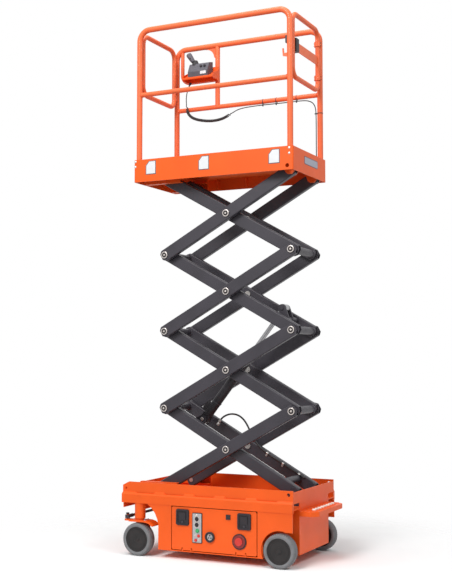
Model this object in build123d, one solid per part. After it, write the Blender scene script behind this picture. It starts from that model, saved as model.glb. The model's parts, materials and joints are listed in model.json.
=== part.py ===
"""Small self-propelled electric scissor lift, rebuilt from one photograph.

Millimetres. +X is the steered end, +Y the left side, +Z up. The ground is Z 0 and
the origin is the middle of the footprint. The lift stands part raised, as in the photo.
"""
import math
import os

from build123d import *

# scissor stack, which sets the length of chassis and platform
STAGES = 4
ANGLE = 29.2
ARM_L = 1042.0
ARM_H = 80.0
ARM_W = 40.0
ARM_T = 4.0
ARM_END = 30.0
ARM_NOSE = 20.0
ARM_GAP = 6.0
IN_Y0 = 124.0
PIVOT_Z = 436.0
PIN_D = 28.0
HEAD_D = 46.0
HEAD_T = 8.0
TUBE_D = 50.0
ROLLER_D = 44.0
TOP_ROLLER_D = 40.0
RUN = 0.06
SIDE_PLAY = 4.0

# chassis
WIDTH = 760.0
STEP_D = 114.0
STEP_Z = 336.0
STEP_LIP = 30.0
STEP_T = 5.0
STEP_TAPER = 44.0
STEP_ROUND = 18.0
STEP_SLOTS = 9
PIVOT_IN = 67.0
FRONT_ROOM = 97.0
PLATE = 6.0
SKIN_IN = 18.0
RAIL_FOLD = 18.0
BAND_PROUD = 4.0
FLOOR_Z = 51.0
BAND_Z0 = 336.0
BAND_H = 54.0
LEDGE_H = 15.0
UPPER_H = 65.0
DECK_UP = 20.0
LIP_Z = 301.0
BOX_Y = 250.0
BOX_Z = 70.0
BAY_REAR = 201.0
BAY_FRONT = 274.0
DOOR_REAR = 32.0
DOOR_FRONT = 95.0
DOOR_GAP = 5.0
HINGE_UP = 15.0

# running gear
TYRE_D = 210.0
TYRE_W = 70.0
RIM_D = 160.0
FRONT_OVER = 120.0
REAR_OVER = 86.0
KING_IN = 50.0
KING_D = 36.0
HOUSING_D = 70.0
LEVER = 95.0
STUB_D = 40.0
WHEEL_GAP = 6.0
ARCH_GAP = 17.0

# lift cylinder, set from the end pins of the inner arms
EYE_LOW_IN = 207.0
EYE_LOW_UP = 31.0
EYE_HIGH_IN = 190.0
EYE_HIGH_UP = 61.0
EYE_PIN = 25.0
EYE_W = 54.0
BARREL_D = 62.0
BARREL_L = 566.0
ROD_D = 30.0
ROD_L = 575.0

# platform
PAN_REAR = 49.0
PAN_FRONT = 65.0
PAN_Y = 287.0
PAN_T = 6.0
PAN_DROP = 17.0
PAN_H = 150.0
FLOOR_UP = 66.0
FLOOR_T = 4.0
DECK_T = 3.0
DECK_GAP = 8.0
RAIL_D = 38.0
MID_D = 32.0
RAIL_H = 972.6
MID_H = 511.6
BEND = 75.0
LOOP_BEND = 60.0
POST_GAP = 2.0
LOOP_GAP = 8.0
GATE_GAP = 6.0

# worked out from the sizes above
LENGTH = ARM_L + FRONT_ROOM + PIVOT_IN + STEP_D
STEP_X = -LENGTH / 2
REAR_X = STEP_X + STEP_D
PIVOT_X = REAR_X + PIVOT_IN
FRONT_X = LENGTH / 2
SKIN_Y = WIDTH / 2 - SKIN_IN
RAIL_Y = SKIN_Y - RAIL_FOLD
BAND_Y = SKIN_Y + BAND_PROUD
BAND_Z1 = BAND_Z0 + BAND_H
LEDGE_Z = BAND_Z1 + LEDGE_H
CHASSIS_TOP = LEDGE_Z + UPPER_H
DECK_Z = BAND_Z0 + DECK_UP
BAY_X0 = REAR_X + BAY_REAR
BAY_X1 = FRONT_X - BAY_FRONT
HOLE_X0 = BAY_X0 + DOOR_REAR
HOLE_X1 = BAY_X1 - DOOR_FRONT
DOOR_X0 = HOLE_X0 + DOOR_GAP
DOOR_X1 = HOLE_X1 - DOOR_GAP
DOOR_Z0 = FLOOR_Z + PLATE + DOOR_GAP
DOOR_Z1 = BAND_Z0 - DOOR_GAP
HINGE_Y = SKIN_Y - DOOR_GAP
HINGE_Z = FLOOR_Z + HINGE_UP
HINGE_XS = (DOOR_X0 + 108.0, DOOR_X1 - 108.0)
FRONT_AXLE_X = FRONT_X - FRONT_OVER
REAR_AXLE_X = REAR_X + REAR_OVER
AXLE_Z = TYRE_D / 2
WHEEL_IN = WIDTH / 2 - TYRE_W
KING_Y = WIDTH / 2 - KING_IN
GUARD_Z = TYRE_D + WHEEL_GAP
TIE_Z = GUARD_Z + 25.0
OUT_Y0 = IN_Y0 + ARM_W + ARM_GAP
OUT_Y1 = OUT_Y0 + ARM_W
RUN_D = PIN_D + 2 * RUN
RISE = ARM_L * math.sin(math.radians(ANGLE))
SPAN = ARM_L * math.cos(math.radians(ANGLE))
FRONT_PIN_X = PIVOT_X + SPAN
MID_X = PIVOT_X + SPAN / 2
TOP_Z = PIVOT_Z + STAGES * RISE
TRACK_X0 = FRONT_PIN_X - 114.0
TRACK_X1 = PIVOT_X + ARM_L + 27.0
PAN_X0 = PIVOT_X - PAN_REAR
PAN_X1 = PIVOT_X + ARM_L + PAN_FRONT
PAN_Z0 = TOP_Z - PAN_DROP
PAN_Z1 = PAN_Z0 + PAN_H
PAN_FLOOR = TOP_Z + FLOOR_UP
PAN_UNDER = PAN_FLOOR - FLOOR_T
POST_Y = PAN_Y - PAN_T - RAIL_D / 2 - 1.0
POST_X0 = PAN_X0 + PAN_T + RAIL_D / 2 + 2 * POST_GAP
POST_X1 = PAN_X1 - PAN_T - RAIL_D / 2 - POST_GAP
RAIL_TOP = PAN_FLOOR + RAIL_H
RAIL_Z = RAIL_TOP - RAIL_D / 2
MID_Z = PAN_FLOOR + MID_H
LOOP_Z0 = MID_Z + MID_D / 2
LOOP_Z1 = RAIL_Z - MID_D / 2
GATE_Y = POST_Y - RAIL_D / 2 - GATE_GAP - MID_D / 2
LOOP_Y = POST_Y - RAIL_D / 2 - LOOP_GAP - MID_D / 2
EYE_LOW = (ARM_L / 2 - EYE_LOW_IN, EYE_LOW_UP)
EYE_HIGH = (EYE_HIGH_IN - ARM_L / 2, EYE_HIGH_UP)
TUBE_LOW = (EYE_LOW[0] + 38.0, EYE_LOW[1] - 45.0)
TUBE_HIGH = (EYE_HIGH[0] - 61.0, EYE_HIGH[1] - 53.0)

os.makedirs("parts", exist_ok=True)
NODES = {}


def block(x0, x1, y0, y1, z0, z1):
    """Box between two corners."""
    place = Pos((x0 + x1) / 2, (y0 + y1) / 2, (z0 + z1) / 2)
    return place * Box(abs(x1 - x0), abs(y1 - y0), abs(z1 - z0))


def rod_x(x0, x1, y, z, d):
    return Pos((x0 + x1) / 2, y, z) * Rot(0, 90, 0) * Cylinder(d / 2, abs(x1 - x0))


def rod_y(x, y0, y1, z, d):
    return Pos(x, (y0 + y1) / 2, z) * Rot(90, 0, 0) * Cylinder(d / 2, abs(y1 - y0))


def rod_z(x, y, z0, z1, d):
    return Pos(x, y, (z0 + z1) / 2) * Cylinder(d / 2, abs(z1 - z0))


def side_plate(points, y0, y1):
    """Plate with an outline in X and Z, thick along Y."""
    face = make_face(Polyline(*[(x, 0, z) for x, z in points], close=True))
    return Pos(0, y0, 0) * extrude(face, amount=y1 - y0, dir=(0, 1, 0))


def cross_bar(points, x0, x1):
    """Profile in Y and Z, run along X."""
    face = make_face(Polyline(*[(0, y, z) for y, z in points], close=True))
    return Pos(x0, 0, 0) * extrude(face, amount=x1 - x0, dir=(1, 0, 0))


def pipe(points, d, bend, close=False):
    """Round bar or tube along straight runs joined by arcs."""
    path = FilletPolyline(*points, radius=bend, close=close)
    start = Plane(origin=path @ 0, z_dir=path % 0)
    return sweep(start * Circle(d / 2), path=path)


def cord_radii(points):
    """The largest arc that each corner of a cord's route has room for."""
    radii = []
    for a, b, c in zip(points, points[1:], points[2:]):
        first = Vector(*b) - Vector(*a)
        second = Vector(*c) - Vector(*b)
        half_turn = math.radians(first.get_angle(second) / 2)
        radii.append(0.45 * min(first.length, second.length) / math.tan(half_turn))
    return radii


def cord(name, points, d):
    """Hose or cord along its route, with arcs as large as the runs allow."""
    radii = cord_radii(points)
    print(name, "radii", [round(r) for r in radii])
    return pipe(points, d, radii)


def flip(shape):
    """The same piece on the other side of the machine."""
    return mirror(shape, about=Plane.XZ)


def group(*shapes):
    """Like pieces of one body that don't touch, in one node."""
    solids = []
    for shape in shapes:
        solids.extend(shape.solids())
    return Compound(children=solids)


def keep(name, shape):
    NODES[name] = shape


def on_arm(stage, along, square, slope):
    """A point given along and square to an arm, from its middle pin. slope +1 rises to the front."""
    a = math.radians(ANGLE)
    z_mid = PIVOT_Z + (stage - 0.5) * RISE
    x = MID_X + along * math.cos(a) - slope * square * math.sin(a)
    z = z_mid + slope * along * math.sin(a) + square * math.cos(a)
    return x, z


def pin_point(row, front):
    """End pin on row 0 to 4, at the rear or the front."""
    return (FRONT_PIN_X if front else PIVOT_X), PIVOT_Z + row * RISE


def arm(stage, y0, slope, bores):
    """One box-section scissor arm with its three pin bushes, bored rear, middle and front."""
    long = ARM_L + 2 * ARM_END
    y_mid = y0 + ARM_W / 2
    body = Box(long, ARM_W, ARM_H)
    body = fillet(body.edges().filter_by(Axis.X), 1.7 * ARM_T)
    body -= Box(long + 2, ARM_W - 2 * ARM_T, ARM_H - 2 * ARM_T)
    for sx in (-1, 1):
        for sz in (-1, 1):
            corner = Pos(sx * long / 2, 0, sz * ARM_H / 2) * Rot(0, 45, 0)
            body -= corner * Box(ARM_NOSE * math.sqrt(2), ARM_W + 2, ARM_NOSE * math.sqrt(2))
    for d in (-ARM_L / 2, 0, ARM_L / 2):
        body += rod_y(d, -ARM_W / 2, ARM_W / 2, 0, HEAD_D)
    for d, bore in zip((-ARM_L / 2, 0, ARM_L / 2), bores):
        body -= rod_y(d, -ARM_W, ARM_W, 0, bore)
    x, z = on_arm(stage, 0, 0, slope)
    return Pos(x, y_mid, z) * Rot(0, -slope * ANGLE, 0) * body


def chassis_frame():
    """Folded-plate hull: battery bay, rear housing, tub floor, end walls and fixed skirts."""
    floor_top = FLOOR_Z + PLATE
    skin_in = SKIN_Y - PLATE
    frame = block(BAY_X0, BAY_X1, -SKIN_Y, SKIN_Y, FLOOR_Z, floor_top)
    frame += block(BAY_X1 - PLATE, BAY_X1, -RAIL_Y, RAIL_Y, floor_top, DECK_Z)
    wall = block(BAY_X0, BAY_X0 + PLATE, -RAIL_Y, RAIL_Y, floor_top, DECK_Z)
    wall -= block(BAY_X0 - 1, BAY_X0 + PLATE + 1, -110, 110, BOX_Z + 40, DECK_Z - 116)
    frame += wall
    frame += block(REAR_X, FRONT_X - PLATE, -RAIL_Y, RAIL_Y, DECK_Z - PLATE, DECK_Z)
    frame += block(FRONT_X - PLATE, FRONT_X, -RAIL_Y, RAIL_Y, LIP_Z, CHASSIS_TOP - 27)
    back = block(REAR_X, REAR_X + PLATE, -RAIL_Y, RAIL_Y, DECK_Z - PLATE, CHASSIS_TOP - 10)
    for s in (-1, 1):
        back -= block(REAR_X - 1, REAR_X + PLATE + 1, s * (RAIL_Y - 101), s * (RAIL_Y - 6), DECK_Z, BAND_Z1)
    frame += back
    frame += block(REAR_X, REAR_X + PLATE, -BOX_Y, BOX_Y, BOX_Z, DECK_Z)
    frame += block(REAR_X, BAY_X0, -BOX_Y, BOX_Y, BOX_Z, BOX_Z + PLATE)
    for s in (-1, 1):
        frame += block(REAR_X, BAY_X0 + 1, s * (BOX_Y - PLATE), s * BOX_Y, BOX_Z, DECK_Z)
    rear_arch = TYRE_D + 10
    outline = [(REAR_X, rear_arch), (REAR_AXLE_X, rear_arch), (REAR_AXLE_X, FLOOR_Z), (BAY_X1, FLOOR_Z)]
    outline += [(BAY_X1, TYRE_D - 5), (BAY_X1 + 9, TYRE_D + 34), (BAY_X1 + 26, TYRE_D + 70)]
    outline += [(BAY_X1 + 52, TYRE_D + 101), (BAY_X1 + 84, BAND_Z0), (REAR_X, BAND_Z0)]
    for s in (-1, 1):
        y0 = skin_in if s > 0 else -SKIN_Y
        skirt = side_plate(outline, y0, y0 + PLATE)
        skirt -= rod_y(REAR_AXLE_X, y0 - 1, y0 + PLATE + 1, AXLE_Z, TYRE_D + 2 * ARCH_GAP)
        skirt -= block(HOLE_X0, HOLE_X1, y0 - 1, y0 + PLATE + 1, floor_top, BAND_Z0)
        frame += skirt
        frame += block(BAY_X1 - PLATE, BAY_X1, s * RAIL_Y, s * skin_in, floor_top, BAND_Z0)
        frame += block(BAY_X0, BAY_X0 + PLATE, s * RAIL_Y, s * skin_in, floor_top, BAND_Z0)
        for x in HINGE_XS:
            lugs = block(x - 34, x - 28, s * (HINGE_Y - 6), s * (HINGE_Y + 6), floor_top - 1, HINGE_Z + 6)
            lugs += block(x + 28, x + 34, s * (HINGE_Y - 6), s * (HINGE_Y + 6), floor_top - 1, HINGE_Z + 6)
            lugs += rod_x(x - 30, x + 30, s * HINGE_Y, HINGE_Z, 6)
            frame += lugs
    return frame


def side_rail():
    """Left folded side rail: proud band, ledge with tabs and slits, and the upper plate of the tub."""
    y_top = RAIL_Y + PLATE
    points = [(RAIL_Y, BAND_Z0), (BAND_Y, BAND_Z0), (BAND_Y, BAND_Z1), (y_top, LEDGE_Z)]
    points += [(y_top, CHASSIS_TOP), (RAIL_Y, CHASSIS_TOP)]
    rail = cross_bar(points, REAR_X, FRONT_X)
    pitch = (FRONT_X - REAR_X - 126) / 5
    for i in range(5):
        x0 = REAR_X + 63 + i * pitch
        rail -= block(x0 + 40, x0 + pitch - 40, y_top - 1, y_top + 6, LEDGE_Z - 9, LEDGE_Z + 1)
    for i in range(4):
        x = REAR_X + 63 + (i + 1) * pitch
        tab = [(y_top - 1, LEDGE_Z - 4), (y_top + 8, LEDGE_Z - 7)]
        tab += [(y_top + 5, LEDGE_Z + 3), (y_top - 1, LEDGE_Z + 8)]
        rail += cross_bar(tab, x - 34, x + 34)
    nose = [(FRONT_X - 48, CHASSIS_TOP + 1), (FRONT_X + 1, CHASSIS_TOP + 1), (FRONT_X + 1, CHASSIS_TOP - 24)]
    rail -= side_plate(nose, RAIL_Y - 4, BAND_Y + 4)
    rail -= rod_y(REAR_X + 31, RAIL_Y - 4, BAND_Y + 4, CHASSIS_TOP - 25, 22)
    rail -= rod_y(FRONT_X - 25, RAIL_Y - 4, BAND_Y + 4, CHASSIS_TOP - 42, 16)
    return rail


def scissor_mount_low():
    """Left roller track and left rear clevis of the scissor stack, on the tub floor."""
    y0 = OUT_Y1 + SIDE_PLAY
    y1 = y0 + 27
    gap = ROLLER_D / 2 + 0.5
    track = block(TRACK_X0, TRACK_X1, y1, y1 + PLATE, DECK_Z, PIVOT_Z + gap + 5)
    track += block(TRACK_X0, TRACK_X1, y0, y1 + PLATE, PIVOT_Z - gap - 5, PIVOT_Z - gap)
    track += block(TRACK_X0, TRACK_X1, y0, y1 + PLATE, PIVOT_Z + gap, PIVOT_Z + gap + 5)
    for x in (TRACK_X0 + 25, TRACK_X1 - 25):
        web_y = y1 + PLATE
        rib = [(web_y, DECK_Z), (web_y + 40, DECK_Z), (web_y + 40, DECK_Z + 8), (web_y, DECK_Z + 60)]
        track += cross_bar(rib, x - 3, x + 3)
    ear = [(PIVOT_X - 45, DECK_Z), (PIVOT_X + 45, DECK_Z), (PIVOT_X + 28, PIVOT_Z + 20)]
    ear += [(PIVOT_X + 14, PIVOT_Z + 32), (PIVOT_X - 14, PIVOT_Z + 32), (PIVOT_X - 28, PIVOT_Z + 20)]
    y_in = IN_Y0 - SIDE_PLAY
    y_out = IN_Y0 + ARM_W + SIDE_PLAY
    clevis = side_plate(ear, y_in - 10, y_in)
    clevis += side_plate(ear, y_out, y_out + 10)
    clevis += rod_y(PIVOT_X, y_in - 14, y_out + 14, PIVOT_Z, PIN_D)
    return group(track, clevis)


def step_solid(inset, z0, z1):
    """The step's outline in plan, tapered and rounded at the rear, drawn in by an inset."""
    half = BOX_Y - inset
    rear = STEP_X + inset
    taper = rear + STEP_TAPER
    side = [(REAR_X - inset, half), (taper, half - 4), (rear, half - STEP_TAPER)]
    plan = side + [(x, -y) for x, y in reversed(side)]
    face = make_face(Polyline(*[(x, y, z0) for x, y in plan], close=True))
    solid = extrude(face, amount=z1 - z0, dir=(0, 0, 1))
    rear_edges = solid.edges().filter_by(Axis.Z).filter_by(lambda e: e.center().X < REAR_X - inset - 1)
    return fillet(rear_edges, STEP_ROUND - inset)


def rear_step():
    """Folded non-slip step behind the rear wall, with a down-turned lip and through slots."""
    step = step_solid(0, STEP_Z - STEP_LIP, STEP_Z)
    step -= step_solid(STEP_T, STEP_Z - STEP_LIP - 1, STEP_Z - STEP_T)
    pitch = 2 * BOX_Y / (STEP_SLOTS + 1.8)
    for i in range(STEP_SLOTS):
        place = Pos(STEP_X + STEP_D / 2, (i - (STEP_SLOTS - 1) / 2) * pitch, STEP_Z)
        step -= place * extrude(SlotOverall(STEP_D - 40, 16), amount=2 * STEP_T, both=True)
    return step


def wheel(x, side):
    """Solid tyre and hub of one wheel, turned about the axle."""
    inner = WIDTH / 2 - TYRE_W
    outer = WIDTH / 2
    r = TYRE_D / 2
    rim = RIM_D / 2
    ring = [(rim, inner + 4), (r - 16, inner), (r - 5, inner + 5), (r, inner + 17)]
    ring += [(r, outer - 17), (r - 5, outer - 5), (r - 16, outer), (rim, outer - 4)]
    disc = [(STUB_D / 2 + RUN, inner + 8), (42, inner + 8), (46, inner + 27), (rim, inner + 27)]
    disc += [(rim, outer - 6), (rim - 7, outer - 6), (rim - 9, outer - 9), (19, outer - 9)]
    disc += [(17, outer - 7), (0, outer - 7)]
    disc += [(0, outer - 31), (STUB_D / 2 + RUN, outer - 31)]
    made = []
    for profile in (ring, disc):
        face = make_face(Polyline(*[(d, y, 0) for d, y in profile], close=True))
        made.append(Pos(x, 0, AXLE_Z) * revolve(face, Axis.Y))
    if side < 0:
        made = [flip(piece) for piece in made]
    return made


def knuckle():
    """Left steering knuckle: king pin, bent guard plate, inner cheek, stub axle and lever."""
    x = FRONT_AXLE_X
    y0 = WHEEL_IN - 25
    y1 = WIDTH / 2 - 6
    top = GUARD_Z + 10
    guard = [(x + 62, GUARD_Z), (x + 62, top), (x - 62, top), (x - 92, top - 7), (x - 118, top - 26)]
    guard += [(x - 113, top - 34), (x - 88, top - 16), (x - 60, GUARD_Z)]
    plate = side_plate(guard, y0, y1)
    plate += block(x + 40, x + LEVER, KING_Y - 20, KING_Y + 20, GUARD_Z, top)
    plate += rod_z(x + LEVER, KING_Y, GUARD_Z, top, 40)
    cheek = [(x - 34, AXLE_Z - 40), (x + 34, AXLE_Z - 40), (x + 55, AXLE_Z)]
    cheek += [(x + 48, top - 5), (x - 48, top - 5), (x - 55, AXLE_Z)]
    plate += side_plate(cheek, y0, y0 + 12)
    plate += rod_y(x, y0, WIDTH / 2 - 33, AXLE_Z, STUB_D)
    plate += rod_z(x, KING_Y, GUARD_Z, BAND_Z0 - 16, KING_D - 2 * RUN)
    plate += rod_z(x, KING_Y, GUARD_Z, top + 7, HOUSING_D - 10)
    plate += rod_z(x + LEVER, KING_Y, GUARD_Z, TIE_Z + 15, 16 - 2 * RUN)
    return plate


def front_axle():
    """Cross beam under the front deck with a king pin housing at each end."""
    beam = block(FRONT_AXLE_X - 38, FRONT_AXLE_X + 38, -KING_Y, KING_Y, BAND_Z0 - 40, DECK_Z - PLATE)
    for s in (-1, 1):
        beam += rod_z(FRONT_AXLE_X, s * KING_Y, GUARD_Z + 20, BAND_Z0, HOUSING_D)
        beam -= rod_z(FRONT_AXLE_X, s * KING_Y, GUARD_Z, BAND_Z0 - 11, KING_D)
    return beam


def tie_rod():
    x = FRONT_AXLE_X + LEVER
    bar = rod_y(x, -KING_Y, KING_Y, TIE_Z, 18)
    for s in (-1, 1):
        bar += rod_z(x, s * KING_Y, TIE_Z - 10, TIE_Z + 10, 34)
        bar += rod_y(x, s * (KING_Y - 60), s * (KING_Y - 15), TIE_Z, 24)
        bar -= rod_z(x, s * KING_Y, TIE_Z - 16, TIE_Z + 19, 16)
    return bar


def door(side):
    """Drop-down side door with hinge knuckles along its lower edge."""
    y0 = side * (SKIN_Y - PLATE)
    y1 = side * SKIN_Y
    panel = block(DOOR_X0, DOOR_X1, y0, y1, DOOR_Z0, DOOR_Z1)
    panel = fillet(panel.edges().filter_by(Axis.Y), 10)
    panel += block(DOOR_X0 + 14, DOOR_X1 - 14, y0 - side * 12, y0, DOOR_Z1 - 20, DOOR_Z1 - 6)
    for x in HINGE_XS:
        panel -= block(x - 38, x + 38, side * (HINGE_Y - 7), side * (SKIN_Y + 8), DOOR_Z0 - 1, HINGE_Z + 10)
        panel += rod_x(x - 27, x + 27, side * HINGE_Y, HINGE_Z, 12)
        panel += block(x - 27, x + 27, y0, y1, HINGE_Z, HINGE_Z + 11)
        panel -= rod_x(x - 40, x + 40, side * HINGE_Y, HINGE_Z, 6 + 2 * RUN)
    return panel


def latch(x, side):
    """Rectangular draw latch near the top of a door."""
    z1 = DOOR_Z1 - 13
    z0 = z1 - 101
    body = block(x - 46, x + 46, side * SKIN_Y, side * (SKIN_Y + 7), z0, z1)
    body = fillet(body.edges().filter_by(Axis.Y), 12)
    body -= block(x - 32, x + 32, side * (SKIN_Y + 4), side * (SKIN_Y + 8), z0 + 15, z1 - 15)
    body += block(x - 22, x + 22, side * SKIN_Y, side * (SKIN_Y + 8), z0 + 33, z1 - 20)
    return body


def door_controls():
    """Switch strip, round socket, small cover and stop button of the left door."""
    x = DOOR_X1
    z = DOOR_Z1
    strip = block(x - 219, x - 149, SKIN_Y, SKIN_Y + 5, z - 218, z - 30)
    strip = fillet(strip.edges().filter_by(Axis.Y), 6)
    socket = rod_y(x - 275, SKIN_Y, SKIN_Y + 10, z - 174, 64)
    socket -= rod_y(x - 275, SKIN_Y + 5, SKIN_Y + 11, z - 174, 44)
    cover = block(x - 416, x - 386, SKIN_Y, SKIN_Y + 5, z - 58, z - 28)
    ring = rod_y(x - 478, SKIN_Y, SKIN_Y + 6, z - 188, 96)
    ring += rod_y(x - 478, SKIN_Y, SKIN_Y + 10, z - 188, 30)
    ring += rod_y(x - 478, SKIN_Y + 9, SKIN_Y + 17, z - 188, 44)
    return group(strip, socket, cover, ring)


def stage_pins(stage):
    """Pins carried by one pair of outer arms: end shafts and middle stubs, with their heads."""
    y1 = OUT_Y1 + HEAD_T
    pieces = []
    for s in (-1, 1):
        x, z = on_arm(stage, 0, 0, -1)
        stub = rod_y(x, s * (IN_Y0 - 8), s * y1, z, PIN_D)
        stub += rod_y(x, s * OUT_Y1, s * y1, z, HEAD_D)
        stub += rod_y(x, s * (IN_Y0 - 8), s * (IN_Y0 - 2), z, HEAD_D - 6)
        pieces.append(stub)
    shafts = []
    if stage > 1:
        shafts.append(pin_point(stage - 1, True))
    if stage < STAGES:
        shafts.append(pin_point(stage, False))
    for x, z in shafts:
        shaft = rod_y(x, -y1, y1, z, PIN_D)
        for s in (-1, 1):
            shaft += rod_y(x, s * OUT_Y1, s * y1, z, HEAD_D)
        pieces.append(shaft)
    if stage == 1:
        x, z = pin_point(0, True)
        for s in (-1, 1):
            pieces.append(rod_y(x, s * (OUT_Y0 - 4), s * (OUT_Y1 + SIDE_PLAY + 25), z, PIN_D))
    return group(*pieces)


def cross_tubes(stage):
    """Tubes that tie one pair of inner arms together near their ends."""
    pieces = []
    y1 = IN_Y0
    if stage > 1:
        x, z = pin_point(stage - 1, False)
    else:
        x, z = on_arm(1, -ARM_L / 2 + 110, 0, 1)
    low = rod_y(x, -y1, y1, z, TUBE_D)
    if stage > 1:
        low -= rod_y(x, -y1 - 1, y1 + 1, z, PIN_D + 4)
    pieces.append(low)
    x, z = pin_point(stage, True)
    high = rod_y(x, -y1, y1, z, TUBE_D)
    if stage < STAGES:
        high -= rod_y(x, -y1 - 1, y1 + 1, z, PIN_D + 4)
    pieces.append(high)
    return group(*pieces)


def ears(stage, eye, tube, through):
    """Cross tube between the inner arms with two ears for a cylinder pin."""
    ex, ez = on_arm(stage, eye[0], eye[1], 1)
    tx, tz = on_arm(stage, tube[0], tube[1], 1)
    piece = rod_y(tx, -IN_Y0, IN_Y0, tz, 40)
    gap = EYE_W / 2 + 3
    for s in (-1, 1):
        outline = [Pos(ex, ez) * e for e in Circle(26).edges()]
        outline += [Pos(tx, tz) * e for e in Circle(25).edges()]
        plate = extrude(Plane.XZ * make_hull(outline), amount=5, both=True)
        piece += Pos(0, s * (gap + 5), 0) * plate
        piece += rod_y(ex, s * (gap + 0.5), s * (gap + 16), ez, EYE_PIN)
    if through:
        piece += rod_y(ex, -gap - 16, gap + 16, ez, EYE_PIN)
    return piece


def cylinder():
    """Barrel with its base eye and valve block, and the rod with its plain eye."""
    lx, lz = on_arm(1, *EYE_LOW, 1)
    hx, hz = on_arm(3, *EYE_HIGH, 1)
    long = math.hypot(hx - lx, hz - lz)
    tilt = math.degrees(math.atan2(hx - lx, hz - lz))
    place = Pos(lx, 0, lz) * Rot(0, tilt, 0)
    half = EYE_W / 2
    barrel = rod_z(0, 0, 34, BARREL_L, BARREL_D)
    barrel += rod_z(0, 0, BARREL_L - 46, BARREL_L, BARREL_D + 8)
    barrel += rod_y(0, -half, half, 0, 60)
    barrel += block(-27, 27, -half, half, 0, 40)
    barrel += block(20, BARREL_D / 2 + 21, -24, 24, 48, 108)
    barrel -= rod_z(0, 0, 60, BARREL_L + 1, ROD_D + 0.1)
    barrel -= rod_y(0, -half - 3, half + 3, 0, EYE_PIN + 2 * RUN)
    rod = rod_z(0, 0, long - ROD_L, long - 20, ROD_D)
    rod += rod_z(0, 0, long - 48, long - 20, ROD_D + 12)
    rod += rod_y(0, -half, half, long, EYE_W)
    return place * barrel, place * rod


def platform_pan():
    """Folded pan: toe boards on four sides, a floor plate and the raised tread deck between the posts."""
    pan = block(PAN_X0, PAN_X1, -PAN_Y, PAN_Y, PAN_Z0, PAN_Z1)
    pan = fillet(pan.edges().filter_by(Axis.Z), 2 * PAN_T)
    wide = PAN_Y - PAN_T
    pan -= block(PAN_X0 + PAN_T, PAN_X1 - PAN_T, -wide, wide, PAN_FLOOR, PAN_Z1 + 1)
    pan -= block(PAN_X0 + PAN_T, PAN_X1 - PAN_T, -wide, wide, PAN_Z0 - 1, PAN_UNDER)
    deck_in = RAIL_D / 2 + DECK_GAP
    deck_y = POST_Y - deck_in
    pan += block(POST_X0 + deck_in, POST_X1 - deck_in, -deck_y, deck_y, PAN_FLOOR - 1, PAN_FLOOR + DECK_T)
    for s in (-1, 1):
        pan -= rod_y(PIVOT_X - 9, s * (wide - 4), s * (PAN_Y + 5), TOP_Z + 10, 26)
    return pan


def platform_underframe():
    """Left roller track and left rear clevis under the floor plate."""
    y0 = IN_Y0 + ARM_W + SIDE_PLAY
    y_web = y0 + 30
    gap = TOP_ROLLER_D / 2 + 0.5
    x0 = TRACK_X0 + 3
    track = block(x0, TRACK_X1, y_web, y_web + PLATE, TOP_Z - gap - 5, PAN_UNDER)
    track += block(x0, TRACK_X1, y0, y_web + PLATE, TOP_Z + gap, TOP_Z + gap + 5)
    track += block(x0, TRACK_X1, y0, y_web + PLATE, TOP_Z - gap - 5, TOP_Z - gap)
    ear = [(PIVOT_X - 34, PAN_UNDER), (PIVOT_X + 60, PAN_UNDER), (PIVOT_X + 30, TOP_Z - 20)]
    ear += [(PIVOT_X + 14, TOP_Z - 34), (PIVOT_X - 14, TOP_Z - 34), (PIVOT_X - 30, TOP_Z - 18)]
    clevis = side_plate(ear, OUT_Y0 - 16, OUT_Y0 - 6)
    clevis += side_plate(ear, OUT_Y1 + 6, OUT_Y1 + 16)
    clevis += rod_y(PIVOT_X, OUT_Y0 - 20, OUT_Y1 + 20, TOP_Z, PIN_D)
    return group(track, clevis)


def side_guard(side):
    """Side guard rail: one bent hoop with a mid rail."""
    y = side * POST_Y
    points = [(POST_X0, y, PAN_FLOOR), (POST_X0, y, RAIL_Z), (POST_X1, y, RAIL_Z), (POST_X1, y, PAN_FLOOR)]
    guard = pipe(points, RAIL_D, BEND)
    guard += rod_x(POST_X0, POST_X1, y, MID_Z, MID_D)
    return guard


POST_D = 34.0
HANGER_D = 26.0
HANGER_BEND = 60.0
HANGER_Z = MID_Z + 196.0
CONTROL_X = POST_X1 - 327.0
HANGER_X = POST_X1 - 46.0


def right_guard():
    """Right guard rail with the gate's hinge rings."""
    guard = side_guard(-1)
    for z in (LOOP_Z0 + 87, LOOP_Z1 - 93):
        ring = rod_z(POST_X0, -GATE_Y, z - 16, z + 16, MID_D + 14)
        ring += block(POST_X0 - 12, POST_X0 + 12, -POST_Y, -GATE_Y, z - 16, z + 16)
        guard += ring
        guard -= rod_z(POST_X0, -GATE_Y, z - 20, z + 20, MID_D + 2 * RUN)
    return guard


def control_hoop():
    """Post, curved gusset and bent hanger that carry the control tray in the right guard rail."""
    hoop = rod_z(CONTROL_X, -POST_Y, MID_Z, RAIL_Z, POST_D)
    web = [(CONTROL_X + 12, RAIL_Z - 15), (CONTROL_X + 12, RAIL_Z - 95), (CONTROL_X + 100, RAIL_Z - 15)]
    gusset = side_plate(web, -POST_Y - 4, -POST_Y + 4)
    gusset -= rod_y(CONTROL_X + 92, -POST_Y - 9, -POST_Y + 9, RAIL_Z - 87, 132)
    hoop += gusset
    turn = [(HANGER_X, -POST_Y, RAIL_Z), (HANGER_X, -POST_Y, HANGER_Z), (CONTROL_X, -POST_Y, HANGER_Z)]
    hoop += pipe(turn, HANGER_D, HANGER_BEND)
    return hoop - side_guard(-1)


def tube_loop(x, y):
    points = [(x, -y, LOOP_Z0), (x, y, LOOP_Z0), (x, y, LOOP_Z1), (x, -y, LOOP_Z1)]
    return pipe(points, MID_D, LOOP_BEND, close=True)


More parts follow.
